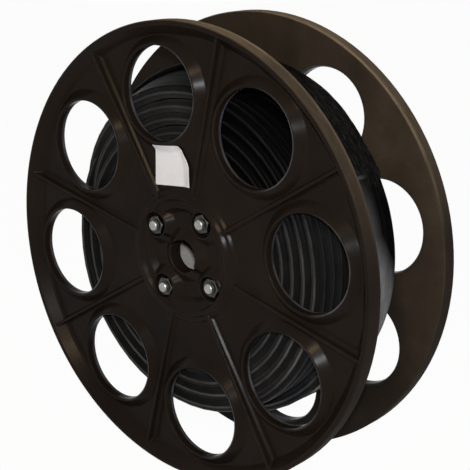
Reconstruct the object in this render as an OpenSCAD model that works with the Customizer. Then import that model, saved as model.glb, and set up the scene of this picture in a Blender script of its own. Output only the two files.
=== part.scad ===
// Cable drum: two moulded flanges bolted over a fibre barrel, wound with cable.
// The drum stands on its two rims. Its axis runs along Y, the front flange
// faces -Y, +Z is up and the origin is on the floor under the drum's middle.

/* [Flange] */
// Outer diameter of both flanges
flange_d = 500; // [480:1:540]
// Height of the rim over the flat inner face
rim_h = 18; // [17:0.5:20]
// Thickness of the flat panel
panel_t = 5; // [4:0.5:6]
// Radius of the rounding on the rim's outer edge
rim_round = 2; // [1:0.5:3]
// Width of the rim's top, rounding included
rim_top_w = 5; // [4:0.5:6]
// Rotation of the hole pattern, seen from the front
pattern_angle = 56; // [0:0.5:90]
// Turn of one flange against the other, within the slack of the bolt holes
flange_twist = 3.5; // [0:0.1:4]

/* [Windows and ribs] */
// Number of round windows, and of ribs between them
window_count = 8; // [6:1:8]
// Diameter of a window
window_d = 101; // [92:1:104]
// Diameter of the circle on which the windows lie
window_circle_d = 348; // [338:1:352]
// Height of a window's collar over the inner face
window_collar_h = 14; // [12:0.5:15]
// Width of a window's collar, from the hole to its foot
window_collar_w = 13; // [12:0.5:14]
// Radius that eases each window on the inner face
window_ease = 4; // [2:0.5:4.5]
// Height of a rib over the inner face at the hub
rib_in_h = 9.5; // [9:0.5:10]
// Height of a rib over the inner face at the rim
rib_out_h = 15; // [12:0.5:16]
// Width of a rib at its top
rib_top_w = 2.4; // [2:0.1:4]
// Width of a rib at its foot
rib_foot_w = 11; // [9:0.1:12]

/* [Hub] */
// Outer diameter of the hub ring's top
hub_ring_d = 131; // [129:1:133]
// Height of the hub ring over the inner face
hub_ring_h = 11.5; // [11:0.5:13]
// Height of the hub floor over the inner face
hub_floor_h = 0.5; // [0.5:0.5:2]
// Depth of the spigot that centres the barrel
spigot_h = 7; // [6:0.5:9]
// Diameter of the arbor bore
bore_d = 36; // [30:0.5:38]
// Height of the collar round the arbor bore
bore_collar_h = 8.5; // [7:0.5:9]
// Width of the two key slots in the arbor bore
key_w = 5; // [4:0.5:6]
// Reach of the key slots from the axis
key_reach = 25; // [22:0.5:27]

/* [Tie bolts] */
// Diameter of the circle on which the bolts lie
bolt_circle_d = 97; // [94:0.5:98]
// Thread diameter of a bolt
bolt_d = 12; // [10:1:12]
// Width across flats of the nuts and heads
nut_af = 19; // [18.5:0.1:19]
// Height of a nut
nut_h = 10; // [8:0.5:10]
// Height of a bolt head
head_h = 7.5; // [6:0.5:8]
// Length of thread that stands out of a nut
thread_out = 4; // [2:0.5:5]
// Clearance between a bolt and its thread or hole
bolt_clear = 0.3; // [0.1:0.05:0.4]
// Diameter of the recess round a nut or head
recess_d = 27; // [26:0.5:28]
// Depth of the recess floor under the inner face
recess_sink = 1.5; // [0.5:0.5:2]

/* [Barrel and cable] */
// Distance between the flanges
gap_w = 113; // [106:1:140]
// Outer diameter of the barrel
barrel_d = 164; // [161:1:166]
// Wall of the barrel
barrel_t = 6; // [5:0.5:6.5]
// Clearance between the barrel and the spigots and cable
barrel_clear = 0.3; // [0.1:0.1:0.5]
// Diameter of the cable
cable_d = 14; // [12:0.5:14]
// Number of full layers of cable
layers = 7; // [5:1:7]
// Number of turns left out of the last layer, at the front
turns_short = 3; // [1:1:5]

/* [Wrap and label] */
// Thickness of the wrapping film's folds
film_t = 1; // [0.5:0.1:1.5]
// Angle at which the film ends, seen from the front
film_from = 33; // [0:1:60]
// Angle that the film covers
film_arc = 95; // [60:1:180]
// Width of the paper label
label_w = 49; // [40:0.5:50]
// Height of the paper label
label_h = 44; // [36:0.5:45]
// Thickness of the paper label
label_t = 0.4; // [0.3:0.1:0.6]
// Lean of the label, anticlockwise
label_lean = 5.5; // [0:0.5:8]

/* [Hidden] */
$fn = 96;
black_plastic = [0.10, 0.09, 0.08];
black_cable = [0.06, 0.06, 0.06];
grey_board = [0.42, 0.39, 0.36];
zinc = [0.75, 0.74, 0.70];
paper = [0.93, 0.92, 0.93];
flange_r = flange_d / 2;
window_r = window_d / 2;
window_pitch = 360 / window_count;
top_window_turn = pattern_angle - flange_twist / 2 + window_pitch;
collar_lip = 1;
collar_flat = 1.5;
window_mound_r = window_r + collar_lip + collar_flat;
window_mound_w = window_collar_w - collar_lip - collar_flat;
edge_break = 1;
rim_tilt = 50;
rim_fillet = 4;
rib_flare_h = 2.8;
rib_draft = 0.7;
hub_ring_r = hub_ring_d / 2;
hub_ring_top = 2;
hub_shelf_h = 8;
hub_shelf_w = 3;
hub_foot_r = hub_ring_r + hub_ring_h + hub_shelf_w - panel_t;
hub_ledge_h = 7;
hub_ledge_w = 6;
bore_r = bore_d / 2;
bore_lip = 1.5;
bore_collar_w = 11;
bolt_circle_r = bolt_circle_d / 2;
bolt_collar_h = 9;
bolt_collar_lip = 1.5;
bolt_collar_w = 9.5;
key_inset = 0.5;
bolt_offset = bolt_circle_r * sin(flange_twist / 2);
bolt_hole_r = bolt_d / 2 + bolt_offset + bolt_clear;
recess_r = recess_d / 2;
bolt_step = 90;
bolt_tip = 1.2;
hex_chamfer = 1.2;
hex_face_in = 0.4;
nut_step = 23;
barrel_r = barrel_d / 2;
spigot_r = barrel_r - barrel_t - barrel_clear;
cable_r = cable_d / 2;
wind_in_r = barrel_r + barrel_clear;
turns = floor((gap_w - 2 * barrel_clear) / cable_d);
turn_pitch = (gap_w - cable_d - 2 * barrel_clear) / (turns - 1);
turn_crease = 14;
film_r = wind_in_r + (layers + 1) * cable_d;
label_foot = 0.8;
label_r = hub_foot_r + label_foot + label_h / 2;
// Reach of a cut past a face, and of a foot into what carries it, so that no faces fall together
past = 2;
sunk = 1;

// Points on an arc about [x, y], from one angle to another
function arc(x, y, r, from, to, steps = 5) =
    [for (i = [0 : steps]) let (a = from + (to - from) * i / steps) [x + r * cos(a), y + r * sin(a)]];

// Where a part in the plane of a flange is seen from the front
module on_front() {
    translate([0, -gap_w / 2, flange_r]) rotate([90, 0, 0]) children();
}

// The same for the back flange, whose pattern is then seen from behind
module on_back() {
    translate([0, gap_w / 2, flange_r]) rotate([-90, 0, 0]) children();
}

// Copies round the windows of one flange
module at_windows(turn) {
    for (i = [0 : window_count - 1])
        rotate([0, 0, turn + i * window_pitch]) translate([window_circle_d / 2, 0, 0]) children();
}

// Copies round the four bolts
module at_bolts(turn) {
    for (i = [0 : 3])
        rotate([0, 0, turn + i * bolt_step]) translate([bolt_circle_r, 0, 0]) children();
}

// Solid cone of a collar: a flat top of radius r at height h, and a foot that is w wider and sunk
// into the face at height base
module mound(r, h, w, base) {
    translate([0, 0, base - sunk]) cylinder(r1 = r + w, r2 = r, h = h - base + sunk);
}

// Everything that is round about the drum's axis: spigot, inner face, rim, panel, hub ring, dish
// and bore collar
module disc() {
    rim_in = flange_r - rim_top_w;
    rim_drop = rim_h - panel_t - rim_fillet * (1 - cos(rim_tilt));
    rim_foot = rim_in - rim_drop / tan(rim_tilt) - rim_fillet * sin(rim_tilt);
    ring_in = hub_ring_r - hub_ring_top;
    ledge_out = ring_in - hub_ring_h + hub_ledge_h;
    ledge_in = ledge_out - hub_ledge_w;
    shelf_in = hub_ring_r + hub_ring_h - hub_shelf_h;
    rotate_extrude($fn = 180) polygon(concat(
        [[bore_r, -spigot_h], [spigot_r - edge_break, -spigot_h]],
        [[spigot_r, edge_break - spigot_h], [spigot_r, 0]],
        [[flange_r - edge_break, 0], [flange_r, edge_break]],
        arc(flange_r - rim_round, rim_h - rim_round, rim_round, 0, 90),
        [[rim_in, rim_h]],
        arc(rim_foot, panel_t + rim_fillet, rim_fillet, rim_tilt - 90, -90, 3),
        [[hub_foot_r, panel_t], [shelf_in + hub_shelf_w, hub_shelf_h]],
        [[shelf_in, hub_shelf_h], [hub_ring_r, hub_ring_h]],
        [[ring_in, hub_ring_h], [ledge_out, hub_ledge_h]],
        [[ledge_in, hub_ledge_h], [ledge_in - hub_ledge_h + hub_floor_h, hub_floor_h]],
        [[bore_r + bore_lip + bore_collar_w, hub_floor_h]],
        arc(bore_r + bore_lip, bore_collar_h - bore_lip, bore_lip, 90, 180, 3)));
}

// Radial rib with flared feet, from inside the hub ring to inside the rim; its top rises to the rim
module rib() {
    inner = hub_ring_r - hub_ring_top / 2;
    outer = flange_r - rim_top_w;
    foot = rib_foot_w / 2;
    top = rib_top_w / 2;
    flare = top + rib_draft;
    flare_h = panel_t + rib_flare_h;
    intersection() {
        translate([inner, 0, 0]) rotate([90, 0, 90]) linear_extrude(outer - inner)
            polygon([[-foot, panel_t - sunk], [foot, panel_t - sunk], [flare, flare_h],
                     [top, rim_h], [-top, rim_h], [-flare, flare_h]]);
        translate([0, foot + past, 0]) rotate([90, 0, 0]) linear_extrude(rib_foot_w + 2 * past)
            polygon([[inner - past, 0], [outer + past, 0],
                     [outer + past, rib_out_h], [inner - past, rib_in_h]]);
    }
}

// The hole of a window: eased on the inner face and rounded over its collar
module window_void() {
    top = window_collar_h;
    rotate_extrude() polygon(concat(
        [[0, -past], [window_r + window_ease, -past]],
        arc(window_r + window_ease, window_ease, window_ease, -90, -180),
        arc(window_r + collar_lip, top - collar_lip, collar_lip, 180, 90),
        [[window_r + collar_lip, top + past], [0, top + past]]));
}

// Key slots through the arbor bore, and the grooves that run on from them
module key_void() {
    for (side = [0, 180])
        rotate([0, 0, side]) {
            translate([0, -key_w / 2, -spigot_h - past])
                cube([key_reach, key_w, spigot_h + bore_collar_h + 2 * past]);
            translate([0, key_inset - key_w / 2, hub_floor_h - sunk])
                cube([bolt_circle_r - recess_r, key_w - 2 * key_inset, bore_collar_h]);
        }
}

module bolt_void() {
    translate([0, 0, -spigot_h - past]) cylinder(r = bolt_hole_r, h = spigot_h + rim_h);
    translate([0, 0, -recess_sink]) cylinder(r = recess_r, h = rim_h);
}

// One flange, lying on its inner face; turn places its hole pattern
module flange(turn) {
    color(black_plastic) difference() {
        union() {
            disc();
            for (i = [0 : window_count - 1]) rotate([0, 0, turn + (i + 0.5) * window_pitch]) rib();
            at_windows(turn) mound(window_mound_r, window_collar_h, window_mound_w, panel_t);
            at_bolts(turn)
                mound(recess_r + bolt_collar_lip, bolt_collar_h, bolt_collar_w, hub_floor_h);
        }
        at_windows(turn) window_void();
        at_bolts(turn) bolt_void();
        rotate([0, 0, turn + bolt_step]) key_void();
    }
}

module front_flange() {
    on_front() flange(pattern_angle - flange_twist / 2);
}

module back_flange() {
    on_back() flange(-pattern_angle - flange_twist / 2);
}

module barrel() {
    color(grey_board) on_front() rotate([180, 0, 0]) difference() {
        cylinder(r = barrel_r, h = gap_w);
        translate([0, 0, -past]) cylinder(r = barrel_r - barrel_t, h = gap_w + 2 * past);
    }
}

// Centre of a turn: its layer and its place across the drum, as [radius, distance from the front]
function turn_at(layer, place) =
    [wind_in_r + cable_r + layer * cable_d, barrel_clear + cable_r + place * turn_pitch];

// Visible part of a turn, from one angle to another, short of the creases beside it
function turn_arc(layer, place, from, to) =
    let (c = turn_at(layer, place), short = turn_crease * sign(to - from))
    arc(c[0], c[1], cable_r, from + short, to - short);

// All turns as one solid of revolution, with the outermost layer short of the front
module cable_winding() {
    last = turns - 1;
    color(black_cable) on_front() rotate([180, 0, 0]) rotate_extrude($fn = 180) polygon(concat(
        [[wind_in_r, cable_r]],
        [for (i = [0 : layers - 2]) each turn_arc(i, 0, -180, 0)],
        turn_arc(layers - 1, 0, -180, 90),
        [for (j = [1 : 1 : turns_short - 1]) each turn_arc(layers - 1, j, -90, 90)],
        turn_arc(layers - 1, turns_short, -90, 0),
        turn_arc(layers, turns_short, -180, 90),
        [for (j = [turns_short + 1 : 1 : last - 1]) each turn_arc(layers, j, -90, 90)],
        turn_arc(layers, last, -90, 180),
        [for (i = [layers - 1 : -1 : 0]) each turn_arc(i, last, 0, 180)],
        [[wind_in_r, gap_w - cable_r]]));
}

// Film that holds the cable's end down on the outermost layer
module wrap_film() {
    start = turn_at(layers, turns_short)[1] - cable_r / 2;
    end = gap_w - barrel_clear - cable_r / 2;
    color(black_cable) on_front() rotate([180, 0, 0]) translate([0, 0, start])
        rotate([0, 0, -film_from - film_arc]) rotate_extrude(angle = film_arc, $fn = 180)
            translate([film_r, 0]) square([film_t, end - start]);
}

// Outline of the label, as a block of height h on the panel under the top window
module label_block(h) {
    rotate([0, 0, top_window_turn]) translate([label_r, 0, panel_t])
        rotate([0, 0, label_lean - top_window_turn])
            translate([-label_w / 2, -label_h / 2, 0]) cube([label_w, label_h, h]);
}

// Mound of the top window, grown by the paper's thickness where the paper climbs it
module label_mound(grow) {
    tilt = atan((window_collar_h - panel_t + sunk) / window_mound_w);
    rotate([0, 0, top_window_turn]) translate([window_circle_d / 2, 0, 0])
        mound(window_mound_r + grow / sin(tilt), window_collar_h, window_mound_w, panel_t);
}

// Paper that lies on the panel and climbs the collar of the top window
module label() {
    color(paper) on_front() difference() {
        union() {
            label_block(label_t);
            intersection() {
                label_block(rim_h);
                label_mound(label_t);
            }
        }
        label_mound(0);
        rotate([0, 0, top_window_turn]) translate([window_circle_d / 2, 0, 0])
            cylinder(r = window_mound_r + label_t, h = rim_h);
    }
}

// Hexagon with its corners turned off on one end
module hex(h) {
    corner_r = nut_af / 2 / cos(30);
    intersection() {
        cylinder(r = corner_r, h = h, $fn = 6);
        rotate_extrude() polygon(
            [[0, 0], [corner_r, 0], [corner_r, h - hex_chamfer], [nut_af / 2 - hex_face_in, h], [0, h]]);
    }
}

// Bolts pass from heads in the back flange to nuts in the front flange
module at_bolt(i) {
    on_front() rotate([0, 0, pattern_angle + (i - 1) * bolt_step])
        translate([bolt_circle_r, 0, -recess_sink]) children();
}

module tie_bolt(i) {
    grip = gap_w - 2 * recess_sink;
    reach = nut_h + thread_out - bolt_tip;
    color(zinc) at_bolt(i) {
        translate([0, 0, -grip]) cylinder(d = bolt_d, h = grip + reach);
        translate([0, 0, reach]) cylinder(d1 = bolt_d, d2 = bolt_d - 2 * bolt_tip, h = bolt_tip);
        translate([0, 0, -grip]) rotate([180, 0, 0]) hex(head_h);
    }
}

module nut(i) {
    color(zinc) at_bolt(i) difference() {
        rotate([0, 0, i * nut_step]) hex(nut_h);
        translate([0, 0, -past]) cylinder(d = bolt_d + bolt_clear / 2, h = nut_h + 2 * past);
    }
}

front_flange();
back_flange();
barrel();
cable_winding();
wrap_film();
label();
for (i = [1 : 4]) {
    tie_bolt(i);
    nut(i);
}
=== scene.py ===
import math

import bpy
from bpy.props import FloatProperty, FloatVectorProperty, IntProperty, PointerProperty
from mathutils import Euler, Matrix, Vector, noise


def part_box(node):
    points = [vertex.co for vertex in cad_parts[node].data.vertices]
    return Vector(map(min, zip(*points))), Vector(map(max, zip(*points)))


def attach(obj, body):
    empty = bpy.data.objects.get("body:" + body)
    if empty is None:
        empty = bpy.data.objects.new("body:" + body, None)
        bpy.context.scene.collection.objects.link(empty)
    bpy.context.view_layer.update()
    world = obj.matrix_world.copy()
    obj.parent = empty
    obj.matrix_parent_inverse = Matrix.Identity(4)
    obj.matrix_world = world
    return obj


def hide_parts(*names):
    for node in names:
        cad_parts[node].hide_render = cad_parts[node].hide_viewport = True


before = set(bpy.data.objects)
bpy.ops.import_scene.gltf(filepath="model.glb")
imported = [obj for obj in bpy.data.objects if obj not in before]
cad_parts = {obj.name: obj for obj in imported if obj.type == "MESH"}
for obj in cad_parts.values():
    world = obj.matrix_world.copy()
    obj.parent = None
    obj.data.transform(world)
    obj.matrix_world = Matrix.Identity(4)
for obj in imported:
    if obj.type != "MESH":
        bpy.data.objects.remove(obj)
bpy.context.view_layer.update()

bl_info = {
    "name": "Cable Drum",
    "version": (1, 0, 0),
    "blender": (4, 5, 0),
    "location": "3D View > Sidebar > Cable Drum",
    "description": "Dresses a moulded cable drum, its winding and its bolts",
    "category": "Object",
}

INNER_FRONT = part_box("barrel")[0].y
INNER_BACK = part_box("barrel")[1].y
BARREL_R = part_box("barrel")[1].x
AXIS_Z = (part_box("barrel")[0].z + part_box("barrel")[1].z) / 2
BOLTS = ["tie_bolt_%d" % i for i in range(1, 5)]
NUTS = ["nut_%d" % i for i in range(1, 5)]

# The flanges: their windows, the turn of each flange off the middle, the rim and the hub's dish
WINDOWS = 8
WINDOW_CIRCLE_R = 0.174
WINDOW_R = 0.0505
WINDOW_TURN = math.radians(56.0)
FLANGE_TURN = math.radians(1.75)
RIM_R = 0.25
HUB_R = 0.076

# The cable: points along each turn, and the turn at which it starts
TURN_STEPS = 54
CABLE_START = math.radians(236)

# Distance below which points of a mesh are merged
MERGE = 0.00001

# The stage: size of the floor, its share of white, and the camera's sensor in millimetres
FLOOR_SIZE = 60.0
FLOOR_WHITE = 0.965
SENSOR_WIDTH = 36.0

# Name, place, size and tint of each lamp
LAMPS = (
    ("key", (0.84, -0.93, 0.70), 0.06, (0.90, 0.95, 1.0)),
    ("warm", (0.68, -1.17, 1.17), 0.16, (1.0, 0.74, 0.46)),
    ("top", (1.5, -0.35, 1.6), 0.9, (1.0, 0.86, 0.68)),
    ("low", (0.35, -1.30, 0.12), 0.7, (1.0, 0.97, 0.94)),
    ("side", (1.55, 0.03, 0.12), 0.6, (0.94, 0.97, 1.0)),
)


def length(name, description, default):
    """Setting in metres"""
    return FloatProperty(name=name, description=description, default=default, unit="LENGTH", precision=5)


def angle(name, description, degrees):
    """Setting for an angle"""
    return FloatProperty(name=name, description=description, default=math.radians(degrees), subtype="ANGLE")


def power(name, description, default):
    """Setting in watts"""
    return FloatProperty(name=name, description=description, default=default, unit="POWER")


def colour(name, description, default):
    """Setting for a colour"""
    return FloatVectorProperty(name=name, description=description, default=default, subtype="COLOR", size=3,
                               min=0.0, max=1.0)


class CableSettings(bpy.types.PropertyGroup):
    """Sizes of the wound cable"""
    sheath_d: length("Sheath diameter", "Outer diameter of the cable", 0.0138)
    pitch_d: length("Layer step", "Step in radius from one layer to the next", 0.014)
    clearance: length("Clearance", "Gap between the cable and the barrel or flanges", 0.0003)
    layers: IntProperty(name="Full layers", description="Number of full layers", default=7, min=1)
    turns: IntProperty(name="Turns", description="Number of turns across the drum", default=8, min=2)
    turns_short: IntProperty(name="Missing turns", default=3, min=0,
                             description="Turns left out of the last layer, at the front")
    wander: length("Wander", "How far a turn strays from a true circle", 0.0011)
    settle: length("Settle", "How far an end turn may sit back from its flange", 0.0024)
    lopsided: length("Lopsided", "How far the outer layers lie off the drum's axis", 0.0026)
    heavy_side: angle("Heavy side", "Side to which the winding is heavier, seen from the front", 158.0)


class FilmSettings(bpy.types.PropertyGroup):
    """Sizes of the wrapping film"""
    start: angle("Start", "Angle at which the film begins, seen from the front", -45.0)
    arc: angle("Arc", "Angle that the film covers", 173.0)
    lap_start: angle("Lap", "Angle at which the outer lap of the film ends", 29.5)
    thickness: length("Thickness", "Thickness of the film", 0.0003)
    sag: length("Sag", "How far the film sinks between two turns", 0.0006)
    crease: length("Crease", "Height of the creases", 0.0013)
    tent: length("Tent", "How far the outer lap stands off at the top", 0.0045)


class LabelSettings(bpy.types.PropertyGroup):
    """Sizes of the paper label"""
    width: length("Width", "Width of the paper", 0.049)
    height: length("Height", "Height of the paper", 0.044)
    thickness: length("Thickness", "Thickness of the paper", 0.0002)
    lean: angle("Lean", "Lean of the paper, anticlockwise", 5.5)
    curl: length("Curl", "How far the free edge curls off the flange", 0.0035)
    middle_r: length("Place", "Distance of the paper's middle from the drum's axis", 0.0978)
    window_turn: angle("Window turn", "Angle of the top window, seen from the front", 99.25)
    window_r: length("Window circle", "Distance of the top window's middle from the drum's axis",
                     WINDOW_CIRCLE_R)
    panel_h: length("Panel", "Height of the panel over the flange's inner face", 0.005)
    collar_h: length("Collar height", "Height of the window's collar over the inner face", 0.014)
    collar_top_r: length("Collar top", "Outer radius of the collar's top", 0.053)
    collar_slope: angle("Collar slope", "Slope of the collar's cone", 43.6)


class BoltSettings(bpy.types.PropertyGroup):
    """Sizes of the bolt threads"""
    thread_d: length("Thread diameter", "Diameter over the thread's crests", 0.0119)
    thread_pitch: length("Pitch", "Pitch of the thread", 0.00175)
    thread_depth: length("Depth", "Depth of the thread", 0.00105)
    tip: length("Tip", "Length of the turned-off tip", 0.0014)


class FinishSettings(bpy.types.PropertyGroup):
    """Colours of the drum"""
    plastic_dark: colour("Plastic, dark", "Darker tone of the moulded flanges", (0.0072, 0.0051, 0.0039))
    plastic_light: colour("Plastic, light", "Lighter tone of the moulded flanges", (0.0117, 0.0086, 0.0066))
    # Painted highlight along the edges of the windows
    plastic_lip_highlight: colour("Plastic, lips", "Polished edges of the windows", (0.072, 0.074, 0.086))
    # Colour of the flanges' scuffed edges and dusty faces, also painted sheen on the rims and painted light
    # on the inner faces
    plastic_worn_and_sheen: colour("Plastic, worn", "Rubbed edges and dust on the flanges", (0.190, 0.150, 0.104))
    sheath: colour("Sheath", "Cable sheath", (0.0010, 0.0010, 0.0011))
    # Painted highlight lines on the crests of the turns
    sheath_highlight: colour("Sheath, rubbed", "Crests of the turns that rub on the flanges",
                          (0.085, 0.085, 0.088))
    # Dusty sheath, also painted fill light on the sides of the turns away from the lamps
    sheath_dust_and_fill: colour("Sheath, dusty", "Dusty cable sheath", (0.028, 0.028, 0.029))
    film: colour("Film", "Wrapping film", (0.0014, 0.0014, 0.0015))
    # Painted sheen and painted highlights on the film
    film_sheen: colour("Film, dulled", "Wrapping film where it is rubbed and dusty", (0.155, 0.155, 0.158))
    zinc: colour("Zinc", "Plated bolts and nuts", (0.34, 0.34, 0.32))
    paper: colour("Paper", "Label paper", (0.575, 0.585, 0.620))
    board: colour("Board", "Fibre board of the barrel", (0.52, 0.47, 0.42))


class StageSettings(bpy.types.PropertyGroup):
    """Camera and light"""
    camera_at: FloatVectorProperty(name="Camera", description="Place of the camera", subtype="TRANSLATION",
                                   default=(0.8258, -0.9177, 0.6182), precision=4)
    azimuth: angle("Azimuth", "Turn of the camera to the right of the drum's axis", 41.354)
    elevation: angle("Elevation", "Height of the camera over the drum", 16.202)
    lens: FloatProperty(name="Lens", description="Focal length for a 36 mm sensor", default=89.02,
                        subtype="DISTANCE_CAMERA")
    key_power: power("Key", "Power of the lamp beside the camera", 11.5)
    warm_power: power("Warm", "Power of the small warm lamp over the camera", 9.0)
    top_power: power("Top", "Power of the wide lamp at the upper right", 4.5)
    low_power: power("Low", "Power of the wide low lamp in front", 2.0)
    side_power: power("Side", "Power of the wide lamp at the right", 6.5)
    ambient: FloatProperty(name="Ambient", description="Strength of the room light", default=0.16)


# Working by hand: selection and modifiers

def rest():
    """Leave edit mode and deselect everything"""
    if bpy.context.mode != "OBJECT":
        bpy.ops.object.mode_set(mode="OBJECT")
    bpy.ops.object.select_all(action="DESELECT")


def take(piece):
    """Make one piece active and selected"""
    rest()
    piece.select_set(True)
    bpy.context.view_layer.objects.active = piece


def new_piece(name, mesh):
    """Add a piece with a mesh or curve and take it"""
    piece = bpy.data.objects.new(name, mesh)
    bpy.context.scene.collection.objects.link(piece)
    take(piece)
    return piece


def apply_modifier(piece, kind, **settings):
    """Add a modifier to the active piece and apply it"""
    modifier = piece.modifiers.new(kind.lower(), kind)
    for key, value in settings.items():
        setattr(modifier, key, value)
    bpy.ops.object.modifier_apply(modifier=modifier.name)


def close_mesh(piece, outward=True):
    """Merge doubles and, if asked, turn the faces outwards"""
    take(piece)
    bpy.ops.object.mode_set(mode="EDIT")
    bpy.ops.mesh.select_all(action="SELECT")
    bpy.ops.mesh.remove_doubles(threshold=MERGE)
    if outward:
        bpy.ops.mesh.normals_make_consistent(inside=False)
    bpy.ops.object.mode_set(mode="OBJECT")


def cut_off(piece, at, normal):
    """Cut a closed mesh with a plane, drop what lies beyond it and close the cut"""
    take(piece)
    bpy.ops.object.mode_set(mode="EDIT")
    bpy.ops.mesh.select_all(action="SELECT")
    bpy.ops.mesh.bisect(plane_co=at, plane_no=normal, use_fill=True, clear_outer=True)
    bpy.ops.object.mode_set(mode="OBJECT")


def dress(piece, material):
    """Give a piece or a CAD node its one material"""
    piece.data.materials.clear()
    piece.data.materials.append(material)


def finish_piece(piece, material, nodes):
    """Give a new piece its material, body and slot, and let it stand for CAD nodes"""
    dress(piece, material)
    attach(piece, "root")
    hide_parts(*nodes)


def smooth_step(low, high, value):
    """Share that eases from 0 at low to 1 at high"""
    share = min(max((value - low) / (high - low), 0.0), 1.0)
    return share * share * (3 - 2 * share)


def polar(radius, turn, y):
    """Point at a radius and a turn about the drum's axis, the turn as seen from the front"""
    return Vector((radius * math.cos(turn), y, AXIS_Z + radius * math.sin(turn)))


# Materials

class Finish:
    """A material with one principled shader, and short ways to add nodes to it"""

    def __init__(self, name, **values):
        self.material = bpy.data.materials.new(name)
        self.material.use_nodes = True
        self.tree = self.material.node_tree
        self.tree.nodes.clear()
        self.shader = self.add("BsdfPrincipled", **values)
        out = self.add("OutputMaterial")
        self.join(self.shader, 0, out, "Surface")
        self.coords = self.add("TexCoord")

    def add(self, kind, settings=None, **values):
        node = self.tree.nodes.new("ShaderNode" + kind)
        for key, value in (settings or {}).items():
            setattr(node, key, value)
        for key, value in values.items():
            node.inputs[key.replace("_", " ")].default_value = value
        return node

    def join(self, source, output, target, socket):
        self.tree.links.new(source.outputs[output], target.inputs[socket])

    def place(self, location=(0, 0, 0), rotation=(0, 0, 0), scale=(1, 1, 1)):
        node = self.add("Mapping", Location=location, Rotation=rotation, Scale=scale)
        self.join(self.coords, "Object", node, "Vector")
        return node

    def noise(self, scale, detail=3.0, rough=0.55, warp=0.0, source=None):
        node = self.add("TexNoise", Scale=scale, Detail=detail, Roughness=rough, Distortion=warp)
        if source is None:
            self.join(self.coords, "Object", node, "Vector")
        else:
            self.join(source, 0, node, "Vector")
        return node

    def remap(self, source, output, low, high, to_low=0.0, to_high=1.0):
        """Carry a range of values over to another, held at its ends"""
        node = self.add("MapRange", From_Min=low, From_Max=high, To_Min=to_low, To_Max=to_high)
        self.join(source, output, node, "Value")
        return node

    def feed(self, node, socket, source):
        """Give a socket a number, a vector, a node's first output or a pair of a node and its output"""
        if isinstance(source, bpy.types.Node):
            self.join(source, 0, node, socket)
        elif isinstance(source, tuple) and isinstance(source[0], bpy.types.Node):
            self.join(*source, node, socket)
        else:
            node.inputs[socket].default_value = source

    def maths(self, operation, *sources, kind="Math"):
        node = self.add(kind, {"operation": operation})
        for index, source in enumerate(sources):
            self.feed(node, index, source)
        return node

    def vectors(self, operation, *sources):
        return self.maths(operation, *sources, kind="VectorMath")

    def times(self, first, *others):
        """Product of two or more values"""
        for other in others:
            first = self.maths("MULTIPLY", first, other)
        return first

    def most(self, first, *others):
        """Largest of two or more values"""
        for other in others:
            first = self.maths("MAXIMUM", first, other)
        return first

    def split(self, source, output):
        """The three parts of a vector"""
        parts = self.add("SeparateXYZ")
        self.join(source, output, parts, 0)
        return parts

    def about_axis(self):
        """Vector from the drum's axis, without its part along the axis"""
        return self.place(location=(0, 0, -AXIS_Z), scale=(1, 0, 1))

    def towards(self, degrees, low, high, to_low=0.0, to_high=1.0):
        """Remap of the cosine between a point's place round the axis and a given turn"""
        turn = math.radians(degrees)
        unit = self.vectors("NORMALIZE", self.about_axis())
        near = self.vectors("DOT_PRODUCT", unit, (math.cos(turn), 0.0, math.sin(turn)))
        return self.remap(near, "Value", low, high, to_low, to_high)

    def blend(self, share, first, second):
        """Mix two colours, each a colour or a node"""
        node = self.add("Mix", {"data_type": "RGBA"})
        self.join(share, 0, node, 0)
        for socket, source in ((6, first), (7, second)):
            if isinstance(source, bpy.types.Node):
                self.tree.links.new(source.outputs[2], node.inputs[socket])
            else:
                node.inputs[socket].default_value = (*source, 1.0)
        return node

    def paint(self, source, socket, output=0):
        self.join(source, output, self.shader, socket)

    def bump(self, height, strength, distance, under=None):
        node = self.add("Bump", Strength=strength, Distance=distance)
        self.join(height, 0, node, "Height")
        if under is not None:
            self.join(under, 0, node, "Normal")
        return node


def window_edge_highlights(f, radius, depth):
    """Share of 1 for the painted highlight on the edges of the windows, which lie on a circle in both flanges
    """
    axis = f.split(f.about_axis(), 0)
    turn = f.maths("ARCTAN2", (axis, "Z"), (axis, "X"))
    side = f.maths("SIGN", (f.split(f.coords, "Object"), "Y"))
    first = f.maths("MULTIPLY_ADD", side, FLANGE_TURN, WINDOW_TURN)
    half = math.pi / WINDOWS
    near = f.maths("WRAP", f.maths("SUBTRACT", turn, first), half, -half)
    out = f.maths("SUBTRACT", f.times(radius, f.maths("COSINE", near)), WINDOW_CIRCLE_R)
    beside = f.times(radius, f.maths("SINE", near))
    from_middle = f.maths("SQRT", f.maths("ADD", f.times(out, out), f.times(beside, beside)))
    # Painted highlight on the eased edge on the inner face, and on the right half of the collar's lip
    height = f.maths("SUBTRACT", depth, INNER_BACK)
    eased = f.times(f.remap(from_middle, 0, WINDOW_R + 0.0025, WINDOW_R + 0.0015),
                    f.remap(height, 0, 0.0068, 0.0048))
    lip = f.times(f.remap(from_middle, 0, WINDOW_R + 0.0021, WINDOW_R + 0.0011),
                  f.remap(height, 0, 0.0115, 0.0128))
    window = f.maths("SUBTRACT", turn, near)
    right = f.maths("SUBTRACT", f.times(out, f.maths("COSINE", window)),
                    f.times(beside, f.maths("SINE", window)))
    lip = f.times(lip, f.remap(right, 0, 0.004, 0.034))
    patchy = f.remap(f.noise(22.0, 3.0, 0.6), 0, 0.35, 0.68, 0.15, 1.0)
    return f.times(f.most(eased, lip), patchy)


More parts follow.
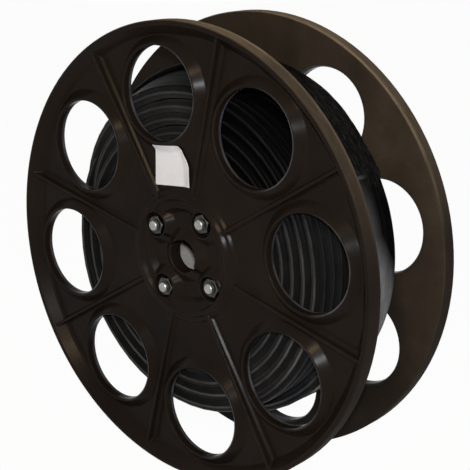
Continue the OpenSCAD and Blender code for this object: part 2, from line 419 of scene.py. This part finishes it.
def plastic_finish(c):
    """Satin moulded plastic, scuffed on its edges and rims and dusty on the inner faces, with painted sheen
    on the rims, painted light on the inner faces and painted highlights on the window edges
    """
    f = Finish("flange_plastic_moulded", IOR=1.45, Specular_IOR_Level=0.034)
    tone = f.remap(f.noise(9.0, 5.0, 0.6, 0.4), 0, 0.3, 0.7)
    base = f.blend(tone, c.plastic_dark, c.plastic_light)
    # Rounded edges, and rubbed ones where two faces meet
    edge = f.add("Bevel", {"samples": 6}, Radius=0.0026)
    geometry = f.add("NewGeometry")
    meet = f.vectors("DOT_PRODUCT", edge, (geometry, "Normal"))
    rub = f.remap(f.noise(46.0, 6.0, 0.7), 0, 0.42, 0.66)
    worn_edge = f.times(f.remap(meet, "Value", 0.92, 0.66), rub, 0.08)
    # Scuffs round the rim, where the drum rolls, with painted sheen where it is turned up, more on the back
    # flange
    radius = f.remap(f.vectors("LENGTH", f.about_axis()), "Value", 0.0, 1.0)
    rim = f.remap(radius, 0, RIM_R - 0.0016, RIM_R - 0.0004)
    streaks = f.noise(1.0, 5.0, 0.65, 0.2, f.place(scale=(60, 420, 60)))
    facing = f.split(geometry, "Normal")
    across = f.split(f.coords, "Object")
    up = f.times(f.remap(facing, "Z", 0.15, 0.90, 0.02, 0.70),
                 f.remap(across, "Y", -0.05, 0.05, 0.72, 1.15))
    up = f.maths("ADD", up, f.remap(facing, "Z", 0.86, 1.0, 0.0, 1.1))
    scuff_and_sheen = f.times(rim, up, f.remap(streaks, 0, 0.35, 0.72, 0.50, 0.95))
    # Scuffs and painted sheen most on the edge towards the winding
    depth = f.maths("ABSOLUTE", (across, "Y"))
    scuff_and_sheen = f.times(scuff_and_sheen, f.remap(depth, 0, INNER_BACK + 0.0060, INNER_BACK + 0.0010, 0.72, 1.9))
    # Dust on the flat inner faces, outside the hub, with painted light that grows towards the upper right
    dust_and_light = f.times(f.remap(depth, 0, INNER_BACK + 0.0012, INNER_BACK + 0.0004),
                   f.remap(f.noise(7.0, 6.0, 0.7), 0, 0.3, 0.7, 0.02, 0.092),
                   f.towards(30, 0.0, 1.0, 0.6, 1.9),
                   f.remap(radius, 0, HUB_R, HUB_R + 0.004))
    wear_and_light = f.most(worn_edge, scuff_and_sheen, dust_and_light)
    sheen_and_wear = f.blend(wear_and_light, base, c.plastic_worn_and_sheen)
    # Painted highlight on the window edges, over the flange colours
    f.paint(f.blend(window_edge_highlights(f, radius, depth), sheen_and_wear, c.plastic_lip_highlight), "Base Color", 2)
    # Satin surface with faint flow marks, duller on the rim and under the scuffs, dusty faces and painted
    # sheen
    flow = f.noise(1.0, 4.0, 0.55, 0.8, f.place(scale=(26, 26, 90)))
    sheen = f.remap(flow, 0, 0.3, 0.7, 0.20, 0.25)
    dull = f.times(f.maths("ADD", wear_and_light, rim), 0.45)
    f.paint(f.maths("ADD", sheen, dull), "Roughness")
    grain = f.bump(f.noise(1500.0, 2.0), 0.05, 0.0004, edge)
    ripple = f.bump(f.noise(34.0, 2.0, 0.5, 0.5), 0.08, 0.0008, grain)
    f.paint(ripple, "Normal")
    return f.material


def board_finish(c):
    """Fibre board, wound in strips"""
    f = Finish("fibre_board_wound", Roughness=0.88, Specular_IOR_Level=0.2)
    fibre = f.noise(1.0, 6.0, 0.7, 0.3, f.place(scale=(420, 130, 420)))
    ply = f.add("TexWave", {"bands_direction": "Y"}, Scale=2.6, Distortion=1.2, Detail=2.0)
    f.join(f.place(rotation=(0.5, 0, 0)), 0, ply, "Vector")
    share = f.times(f.remap(fibre, 0, 0.3, 0.7, 0.3, 1.0), f.remap(ply, "Fac", 0.0, 0.12, 0.55, 1.0))
    dark = tuple(0.62 * v for v in c.board)
    f.paint(f.blend(share, dark, c.board), "Base Color", 2)
    f.paint(f.bump(fibre, 0.25, 0.0004), "Normal")
    return f.material


def sheath_finish(c):
    """Black cable sheath, dusty, with painted fill light, painted shade and painted highlight lines on the
    crests of the turns
    """
    f = Finish("cable_sheath_black", IOR=1.47, Specular_IOR_Level=0.014, Diffuse_Roughness=1.0)
    # Dusty sheath as painted fill light: lighter on the sides turned away from the lamps, and painted shade
    # on the turns towards 54 degrees
    unshaded = f.towards(54, 0.95, 0.80, 0.02, 1.0)
    geometry = f.add("NewGeometry")
    facing_lamps = f.vectors("DOT_PRODUCT", (geometry, "Normal"), (0.65, -0.67, 0.35))
    dust_and_light = f.times(unshaded, f.remap(f.noise(38.0, 6.0, 0.7, 0.6), 0, 0.35, 0.7, 0.55, 1.0),
                   f.remap(facing_lamps, "Value", 0.05, 0.75, 0.9, 0.26))
    # Painted highlight lines on the crests of the turns, fainter under the painted shade
    crest = f.maths("ABSOLUTE", (f.split(geometry, "Normal"), "Y"))
    line = f.times(f.remap(crest, 0, 0.968, 0.998, 0.0, 0.74),
                   f.remap(f.noise(11.0, 3.0, 0.6), 0, 0.35, 0.65, 0.25, 1.0),
                   f.towards(-50, -0.8, 0.5, 0.38, 1.0),
                   f.maths("ADD", f.times(unshaded, 0.7), 0.3))
    f.paint(f.blend(line, f.blend(dust_and_light, c.sheath, c.sheath_dust_and_fill), c.sheath_highlight), "Base Color", 2)
    f.paint(f.remap(f.noise(120.0, 4.0, 0.6), 0, 0.3, 0.7, 0.30, 0.42), "Roughness")
    f.paint(f.bump(f.noise(700.0, 3.0), 0.06, 0.0003), "Normal")
    return f.material


def film_finish(c):
    """Black stretched film, with painted sheen and painted highlights in places"""
    f = Finish("film_black_stretched", IOR=1.5, Specular_IOR_Level=0.004)
    # Black at the top, with painted sheen on the slope towards the front flange and low on the right
    across = f.split(f.coords, "Object")
    slope = f.times(f.remap(across, "Y", -0.019, -0.036, 0.0, 0.022), f.towards(112, 0.70, 0.90))
    back = f.maths("SUBTRACT", (across, "Y"), f.towards(-90, -0.20, 0.30, 0.0, 0.050))
    sheened = f.times(f.remap(back, 0, 0.034, 0.004), f.towards(-20, 0.60, 0.95))
    # Painted highlights on the creases of the outer lap, and a painted highlight along its end
    creases = f.noise(1.0, 5.0, 0.7, 1.0, f.place(scale=(90, 520, 90)))
    lap = f.times(f.remap(creases, 0, 0.48, 0.74, 0.02, 0.18), f.towards(52, 0.86, 0.94))
    end = f.times(f.towards(30, 0.99992, 0.99997, 0.0, 0.40), f.remap(across, "Y", 0.034, 0.012))
    smear = f.noise(1.0, 4.0, 0.6, 0.8, f.place(scale=(60, 180, 60)))
    grey = f.most(f.most(slope, sheened), f.most(lap, end))
    share = f.times(grey, f.remap(smear, 0, 0.3, 0.7, 0.7, 1.0))
    f.paint(f.blend(share, c.film, c.film_sheen), "Base Color", 2)
    f.paint(f.remap(smear, 0, 0.3, 0.7, 0.30, 0.46), "Roughness")
    f.paint(f.bump(f.noise(1.0, 5.0, 0.6, 1.0, f.place(scale=(90, 260, 90))), 0.3, 0.0007), "Normal")
    return f.material


def zinc_finish(c):
    """Zinc plating, darkened on the sides as painted shade, with tarnished clouds, and bright on the ends of
    the bolts
    """
    f = Finish("zinc_plated", Metallic=1.0)
    cloud = f.noise(240.0, 5.0, 0.65, 0.5)
    tarnish_and_shade = tuple(0.12 * v for v in c.zinc)
    tip_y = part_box(BOLTS[0])[0].y
    # Painted shade: everything beyond the bolt ends darkened towards the tarnished colour
    sides = f.remap(f.split(f.coords, "Object"), "Y", tip_y + 0.0006, tip_y + 0.0018, 0.05, 0.92)
    share = f.maths("ADD", sides, f.remap(cloud, 0, 0.45, 0.8, 0.0, 0.6))
    f.paint(f.blend(share, c.zinc, tarnish_and_shade), "Base Color", 2)
    f.paint(f.remap(cloud, 0, 0.3, 0.7, 0.26, 0.46), "Roughness")
    f.paint(f.bump(f.noise(1300.0, 3.0), 0.12, 0.0002), "Normal")
    return f.material


def paper_finish(c):
    """Blank label paper, a little soiled"""
    f = Finish("paper_blank", Roughness=0.62, Specular_IOR_Level=0.3)
    fibre = f.noise(900.0, 5.0, 0.7)
    soil = f.remap(f.noise(85.0, 5.0, 0.7, 0.4), 0, 0.5, 0.8, 0.0, 0.35)
    grey = tuple(0.80 * v for v in c.paper)
    f.paint(f.blend(soil, c.paper, grey), "Base Color", 2)
    f.paint(f.bump(fibre, 0.12, 0.0002), "Normal")
    return f.material


# Pieces

class DRUM_OT_flanges(bpy.types.Operator):
    """Give both moulded flanges their satin brown-black plastic"""
    bl_idname = "drum.flanges"
    bl_label = "Flanges"

    def execute(self, context):
        plastic = plastic_finish(context.scene.drum_finish)
        for name in ("front_flange", "back_flange"):
            dress(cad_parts[name], plastic)
        return {"FINISHED"}


class DRUM_OT_barrel(bpy.types.Operator):
    """Give the barrel its wound fibre board"""
    bl_idname = "drum.barrel"
    bl_label = "Barrel"

    def execute(self, context):
        dress(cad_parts["barrel"], board_finish(context.scene.drum_finish))
        return {"FINISHED"}


def turn_step(c):
    """Distance along the axis from one turn of the cable to the next"""
    return (INNER_BACK - INNER_FRONT - c.pitch_d - 2 * c.clearance) / (c.turns - 1)


def front_turn(c):
    """Place along the axis of the turn beside the front flange"""
    return INNER_FRONT + c.clearance + c.pitch_d / 2


def wound_path(s):
    """Middle line of the cable: one turn after another, across the drum and back, layer on layer"""
    step_y = turn_step(s)
    first_y = front_turn(s)
    first_r = BARREL_R + s.clearance + s.pitch_d / 2
    # The share of a turn at which the cable crosses to its next place, its change and half its length
    cross_at, cross_change, cross_half = 0.82, 0.05, 0.13
    order = []
    for layer in range(s.layers + 1):
        places = list(range(s.turns)) if layer % 2 else list(range(s.turns - 1, -1, -1))
        if layer == s.layers:
            places = [p for p in places if p >= s.turns_short]
        order += [(layer, place) for place in places]
    points = []
    for k, (layer, place) in enumerate(order):
        next_layer, next_place = order[min(k + 1, len(order) - 1)]
        late = cross_at + cross_change * noise.noise((k * 0.73, 4.0, 0.0))
        for i in range(TURN_STEPS):
            share = i / TURN_STEPS
            turn = CABLE_START + 2 * math.pi * (k + share)
            move = smooth_step(late - cross_half, late + cross_half, share)
            at_layer = layer + (next_layer - layer) * move
            at_place = place + (next_place - place) * move
            stray_r = noise.noise((turn * 0.9, 1.7, 0.0)) + 0.5 * noise.noise((turn * 2.6, 5.1, 0.0))
            stray_y = noise.noise((turn * 0.7, 8.3, 0.0)) + 0.4 * noise.noise((turn * 2.1, 3.9, 0.0))
            edge = min(at_place, s.turns - 1 - at_place)
            near = max(0.0, 1.0 - edge)
            side = 1.0 if at_place < (s.turns - 1) / 2 else -1.0
            y = first_y + at_place * step_y + (1.0 - near) * s.wander * stray_y
            y += near * side * s.settle * min(abs(stray_y), 1.0)
            r = first_r + at_layer * s.pitch_d + s.wander * 0.7 * (stray_r - 0.4)
            r += s.lopsided * at_layer / s.layers * math.cos(turn - s.heavy_side)
            points.append(polar(r, turn, y))
    return points


class DRUM_OT_cable(bpy.types.Operator):
    """Wind one long cable on the barrel"""
    bl_idname = "drum.cable"
    bl_label = "Cable"

    def execute(self, context):
        s = context.scene.drum_cable
        points = wound_path(s)
        curve = bpy.data.curves.new("cable", "CURVE")
        curve.dimensions = "3D"
        curve.bevel_depth = s.sheath_d / 2
        curve.bevel_resolution = 3
        curve.use_fill_caps = True
        line = curve.splines.new("POLY")
        line.points.add(len(points) - 1)
        for spot, at in zip(line.points, points):
            spot.co = (*at, 1.0)
        new_piece("cable", curve)
        bpy.ops.object.convert(target="MESH")
        cable = context.object
        close_mesh(cable)
        bpy.ops.object.shade_smooth_by_angle(angle=math.radians(50))
        finish_piece(cable, sheath_finish(context.scene.drum_finish), ["cable_winding"])
        return {"FINISHED"}


def film_sheet(name, columns, rows, place):
    """A grid whose points are placed by their shares along and across the film"""
    rest()
    bpy.ops.mesh.primitive_grid_add(x_subdivisions=columns, y_subdivisions=rows, size=2.0)
    sheet = bpy.context.object
    sheet.name = name
    for vertex in sheet.data.vertices:
        vertex.co = place((vertex.co.x + 1) / 2, (vertex.co.y + 1) / 2)
    return sheet


class DRUM_OT_film(bpy.types.Operator):
    """Stretch a film over the winding, with a creased outer lap at the top"""
    bl_idname = "drum.film"
    bl_label = "Film"

    def execute(self, context):
        s = context.scene.drum_film
        c = context.scene.drum_cable
        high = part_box("wrap_film")[1]
        step_y = turn_step(c)
        foot_y = front_turn(c)
        first_y = foot_y + c.turns_short * step_y
        # Room under the film and under its lap, and how far the film reaches past a turn's crest
        room, lap_room, least_lap_room = 0.0008, 0.001, 0.0007
        crest_lead, edge_reach, foot_reach = 0.0035, 0.005, 0.0045
        # Radius of the lap's folded front edge, and the share of its width that folds
        fold_r, lead = 0.0078, 0.2
        crest_r = BARREL_R + c.clearance + (c.layers + 1) * c.pitch_d + room
        end = s.start + s.arc

        def under_r(turn, y):
            rise = min(max((y - foot_y) / (first_y - crest_lead - foot_y), 0.0), 1.0)
            over = 2 * max(0.0, foot_y - y) / c.pitch_d
            r = crest_r - c.pitch_d * (1.0 - rise) - c.pitch_d / 2 * (1.0 - math.sqrt(1.0 - over * over))
            r -= s.sag * (0.5 - 0.5 * math.cos(2 * math.pi * max(y - first_y, 0.0) / step_y))
            r += 0.4 * s.crease * abs(noise.noise((turn * 5.0 + y * 50, y * 70, 0.3))) * rise
            return r + c.lopsided * (0.86 + 0.14 * rise) * math.cos(turn - c.heavy_side)

        def under(along, across):
            turn = s.start + s.arc * along
            slopes = smooth_step(math.radians(66), math.radians(84), turn)
            edge_y = (first_y - edge_reach) * (1.0 - slopes) + (foot_y - foot_reach) * slopes
            y = edge_y + (high.y - edge_y) * across
            return polar(under_r(turn, y), turn, y)

        def outer(along, across):
            ragged = 0.012 * noise.noise((across * 4.0, 2.0, 0.0))
            ragged += 0.006 * noise.noise((across * 13.0, 7.0, 0.0))
            turn = s.lap_start + (end - s.lap_start) * along + ragged * (1 - along)
            bend = max(0.0, 1.0 - across / lead) * math.pi / 2
            past = max(0.0, (across - lead) / (1.0 - lead))
            y = first_y - fold_r * math.sin(bend) + (high.y - first_y) * past
            run = turn * crest_r
            fold = abs(noise.noise((run * 16 + y * 22, y * 130, 0.3)))
            fold += 0.6 * abs(noise.noise((run * 34 - y * 40, y * 210, 5.3)))
            cross = abs(noise.noise((run * 110, y * 24, 9.1)))
            loose = smooth_step(0.16, 0.0, along) + 0.35
            stands = smooth_step(math.radians(38), math.radians(64), turn)
            r = crest_r + lap_room + s.tent * stands - fold_r * (1.0 - math.cos(bend))
            r += s.crease * (fold * 0.9 + cross * loose * 0.7) * math.cos(bend)
            r += c.lopsided * math.cos(turn - c.heavy_side)
            return polar(max(r, under_r(turn, y) + least_lap_room), turn, y)

        lap = film_sheet("film_lap", 150, 60, outer)
        film = film_sheet("film", 200, 60, under)
        take(film)
        lap.select_set(True)
        bpy.ops.object.join()
        apply_modifier(film, "SOLIDIFY", thickness=s.thickness, offset=1.0)
        close_mesh(film)
        bpy.ops.object.shade_smooth_by_angle(angle=math.radians(60))
        finish_piece(film, film_finish(context.scene.drum_finish), ["wrap_film"])
        return {"FINISHED"}


def collar_height(s, x, z):
    """Height of the flange over its inner face, on the panel and up the collar of the top window"""
    window = polar(s.window_r, s.window_turn, 0.0)
    out = max(0.0, math.hypot(x - window.x, z - window.z) - s.collar_top_r)
    return max(s.panel_h, s.collar_h - out * math.tan(s.collar_slope))


class DRUM_OT_label(bpy.types.Operator):
    """Lay a blank paper label on the front flange, with one edge curling off"""
    bl_idname = "drum.label"
    bl_label = "Label"

    def execute(self, context):
        s = context.scene.drum_label
        middle = polar(s.middle_r, s.window_turn, 0.0)
        # How far the paper spans a bend of the flange, its gap to the flange and its waves
        reach, gap, waves = 0.0022, 0.00022, 0.00025
        rest()
        bpy.ops.mesh.primitive_grid_add(x_subdivisions=44, y_subdivisions=40, size=2.0)
        label = context.object
        label.name = "label_paper"
        for vertex in label.data.vertices:
            a, b = vertex.co.x, vertex.co.y
            torn = 1.06 - 0.38 * smooth_step(-0.1, 1.0, b) if a > 0 else 1.0 - 0.11 * b
            across, up = a * torn * s.width / 2, b * s.height / 2
            x = middle.x + across * math.cos(s.lean) - up * math.sin(s.lean)
            z = middle.z + across * math.sin(s.lean) + up * math.cos(s.lean)
            ground = collar_height(s, x, z)
            spread = [collar_height(s, x + dx * reach, z + dz * reach)
                      for dx in (-1, 0, 1) for dz in (-1, 0, 1)]
            height = max(ground, 0.5 * ground + 0.5 * sum(spread) / len(spread))
            height += gap + waves * (1 + noise.noise((x * 60, z * 60, 2.0)))
            height += s.curl * smooth_step(0.45, 1.0, a) ** 2 * (0.55 + 0.45 * smooth_step(-0.2, 1.0, -b))
            vertex.co = Vector((x, INNER_FRONT - height, z))
        take(label)
        apply_modifier(label, "SOLIDIFY", thickness=s.thickness, offset=0.0)
        close_mesh(label)
        bpy.ops.object.shade_smooth_by_angle(angle=math.radians(40))
        finish_piece(label, paper_finish(context.scene.drum_finish), ["label"])
        return {"FINISHED"}


def thread_piece(s, start, end):
    """A screw thread along Y from start to end, about the origin, with a turned-off tip at its start"""
    crest, root, pitch = s.thread_d / 2, s.thread_d / 2 - s.thread_depth, s.thread_pitch
    shape = ((root, 0.0), (crest, 0.40), (crest, 0.52), (root, 0.92), (root, 1.0))
    mesh = bpy.data.meshes.new("thread")
    points = [(r, start - 2 * pitch + share * pitch, 0.0) for r, share in shape]
    mesh.from_pydata(points, [(i, i + 1) for i in range(len(points) - 1)], [])
    thread = new_piece("thread", mesh)
    count = int((end - start) / pitch) + 5
    apply_modifier(thread, "SCREW", axis="Y", screw_offset=pitch, iterations=count, steps=28, render_steps=28,
                   use_merge_vertices=True, merge_threshold=MERGE)
    close_mesh(thread, outward=False)
    cut_off(thread, (0, end, 0), (0, 1, 0))
    cut_off(thread, (0, start, 0), (0, -1, 0))
    taper = 0.8
    for vertex in thread.data.vertices:
        past = s.tip - (vertex.co.y - start)
        out = math.hypot(vertex.co.x, vertex.co.z)
        if past > 0 and out > crest - past * taper:
            vertex.co.x *= (crest - past * taper) / out
            vertex.co.z *= (crest - past * taper) / out
    close_mesh(thread)
    return thread


class DRUM_OT_bolts(bpy.types.Operator):
    """Cut a real thread on the free end of each tie bolt"""
    bl_idname = "drum.bolts"
    bl_label = "Tie bolts"

    def execute(self, context):
        s = context.scene.drum_bolt
        zinc = zinc_finish(context.scene.drum_finish)
        # The thread ends inside the nut, just clear of the shank
        inside, clear = 0.0006, 0.0001
        for name, nut in zip(BOLTS, NUTS):
            low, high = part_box(nut)
            middle = (low + high) / 2
            tip_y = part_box(name)[0].y
            seat_y = high.y - inside
            shank = new_piece("bolt_" + name[-1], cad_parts[name].data.copy())
            bpy.ops.mesh.customdata_custom_splitnormals_clear()
            close_mesh(shank, outward=False)
            cut_off(shank, (0, seat_y, 0), (0, -1, 0))
            thread = thread_piece(s, tip_y, seat_y - clear)
            for vertex in thread.data.vertices:
                vertex.co += Vector((middle.x, 0.0, middle.z))
            take(shank)
            thread.select_set(True)
            bpy.ops.object.join()
            bpy.ops.object.shade_smooth_by_angle(angle=math.radians(32), keep_sharp_edges=False)
            finish_piece(shank, zinc, [name])
        return {"FINISHED"}


class DRUM_OT_nuts(bpy.types.Operator):
    """Give the nuts their zinc plating"""
    bl_idname = "drum.nuts"
    bl_label = "Nuts"

    def execute(self, context):
        zinc = bpy.data.materials.get("zinc_plated") or zinc_finish(context.scene.drum_finish)
        for name in NUTS:
            dress(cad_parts[name], zinc)
        return {"FINISHED"}


# Stage

def aim(thing, target):
    """Turn a lamp towards a point"""
    thing.rotation_euler = (Vector(target) - thing.location).to_track_quat("-Z", "Y").to_euler()


def lamp(name, at, target, size, watts, tint):
    """Add a round lamp"""
    light = bpy.data.lights.new(name, "AREA")
    light.shape = "DISK"
    light.size = size
    light.energy = watts
    light.color = tint
    thing = bpy.data.objects.new(name, light)
    thing.location = at
    aim(thing, target)
    bpy.context.scene.collection.objects.link(thing)


def shows_white(tree):
    """Share of 1 for rays from the camera, from mirrors and through glass, which see the background"""
    path = tree.nodes.new("ShaderNodeLightPath")
    seen = path.outputs["Is Camera Ray"]
    for name in ("Is Glossy Ray", "Is Transmission Ray"):
        either = tree.nodes.new("ShaderNodeMath")
        either.operation = "MAXIMUM"
        tree.links.new(seen, either.inputs[0])
        tree.links.new(path.outputs[name], either.inputs[1])
        seen = either.outputs[0]
    return seen


def mix_to_surface(tree, output, share, first, second):
    """Mix two shaders by a share and join them to a new output"""
    mix = tree.nodes.new("ShaderNodeMixShader")
    out = tree.nodes.new(output)
    tree.links.new(share, mix.inputs[0])
    tree.links.new(first.outputs[0], mix.inputs[1])
    tree.links.new(second.outputs[0], mix.inputs[2])
    tree.links.new(mix.outputs[0], out.inputs["Surface"])


def floor_finish():
    """Pale floor that the camera and mirrors see as white, with the drum's shadow on it"""
    material = bpy.data.materials.new("floor_pale")
    material.use_nodes = True
    tree = material.node_tree
    tree.nodes.clear()
    share = tree.nodes.new("ShaderNodeMath")
    share.operation = "MULTIPLY"
    share.inputs[1].default_value = FLOOR_WHITE
    tree.links.new(shows_white(tree), share.inputs[0])
    matt = tree.nodes.new("ShaderNodeBsdfDiffuse")
    matt.inputs["Color"].default_value = (0.8, 0.79, 0.77, 1.0)
    white = tree.nodes.new("ShaderNodeEmission")
    mix_to_surface(tree, "ShaderNodeOutputMaterial", share.outputs[0], matt, white)
    return material


def room_light(strength):
    """World: white to the camera and in mirrors, a softer warm white as light"""
    world = bpy.data.worlds.new("room")
    bpy.context.scene.world = world
    world.use_nodes = True
    tree = world.node_tree
    tree.nodes.clear()
    soft = tree.nodes.new("ShaderNodeBackground")
    soft.inputs["Color"].default_value = (1.0, 0.92, 0.82, 1.0)
    soft.inputs["Strength"].default_value = strength
    white = tree.nodes.new("ShaderNodeBackground")
    white.inputs["Color"].default_value = (1.0, 1.0, 1.0, 1.0)
    white.inputs["Strength"].default_value = 1.0
    mix_to_surface(tree, "ShaderNodeOutputWorld", shows_white(tree), soft, white)


class DRUM_OT_stage(bpy.types.Operator):
    """Set up the pale floor, the lamps and the camera"""
    bl_idname = "drum.stage"
    bl_label = "Stage"

    def execute(self, context):
        s = context.scene.drum_stage
        rest()
        bpy.ops.mesh.primitive_grid_add(x_subdivisions=8, y_subdivisions=8, size=FLOOR_SIZE)
        floor = context.object
        floor.name = "floor"
        floor.data.materials.append(floor_finish())
        camera = bpy.data.cameras.new("camera")
        camera.sensor_width = SENSOR_WIDTH
        camera.lens = s.lens
        camera.clip_end = 100.0
        eye = bpy.data.objects.new("camera", camera)
        eye.location = s.camera_at
        eye.rotation_euler = Euler((math.pi / 2 - s.elevation, 0.0, s.azimuth))
        context.scene.collection.objects.link(eye)
        context.scene.camera = eye
        hub = (0.0, INNER_FRONT, AXIS_Z)
        for name, at, size, tint in LAMPS:
            lamp(name + "_lamp", at, hub, size, getattr(s, name + "_power"), tint)
        room_light(s.ambient)
        context.scene.view_settings.view_transform = "Standard"
        return {"FINISHED"}


STEPS = ("flanges", "barrel", "cable", "film", "label", "bolts", "nuts", "stage")
SETTINGS = (("drum_cable", CableSettings), ("drum_film", FilmSettings), ("drum_label", LabelSettings),
            ("drum_bolt", BoltSettings), ("drum_finish", FinishSettings), ("drum_stage", StageSettings))


class DRUM_PT_panel(bpy.types.Panel):
    """Lists the drum's steps and settings"""
    bl_idname = "DRUM_PT_panel"
    bl_label = "Cable Drum"
    bl_space_type = "VIEW_3D"
    bl_region_type = "UI"
    bl_category = "Cable Drum"

    def draw(self, context):
        for step in STEPS:
            self.layout.operator("drum." + step)
        for name, group in SETTINGS:
            box = self.layout.box()
            box.label(text=group.__doc__)
            for key in group.__annotations__:
                box.prop(getattr(context.scene, name), key)


CLASSES = tuple(group for _, group in SETTINGS) + (
    DRUM_OT_flanges, DRUM_OT_barrel, DRUM_OT_cable, DRUM_OT_film, DRUM_OT_label, DRUM_OT_bolts, DRUM_OT_nuts,
    DRUM_OT_stage, DRUM_PT_panel)


def register():
    """Register the classes and add the settings to the scene"""
    for item in CLASSES:
        bpy.utils.register_class(item)
    for name, group in SETTINGS:
        setattr(bpy.types.Scene, name, PointerProperty(type=group))


def unregister():
    """Take the settings and the classes away again"""
    for name, _ in SETTINGS:
        delattr(bpy.types.Scene, name)
    for item in reversed(CLASSES):
        bpy.utils.unregister_class(item)


def main():
    """Make every piece and the stage"""
    register()
    for step in STEPS:
        getattr(bpy.ops.drum, step)()
    rest()


if __name__ == "__main__":
    main()
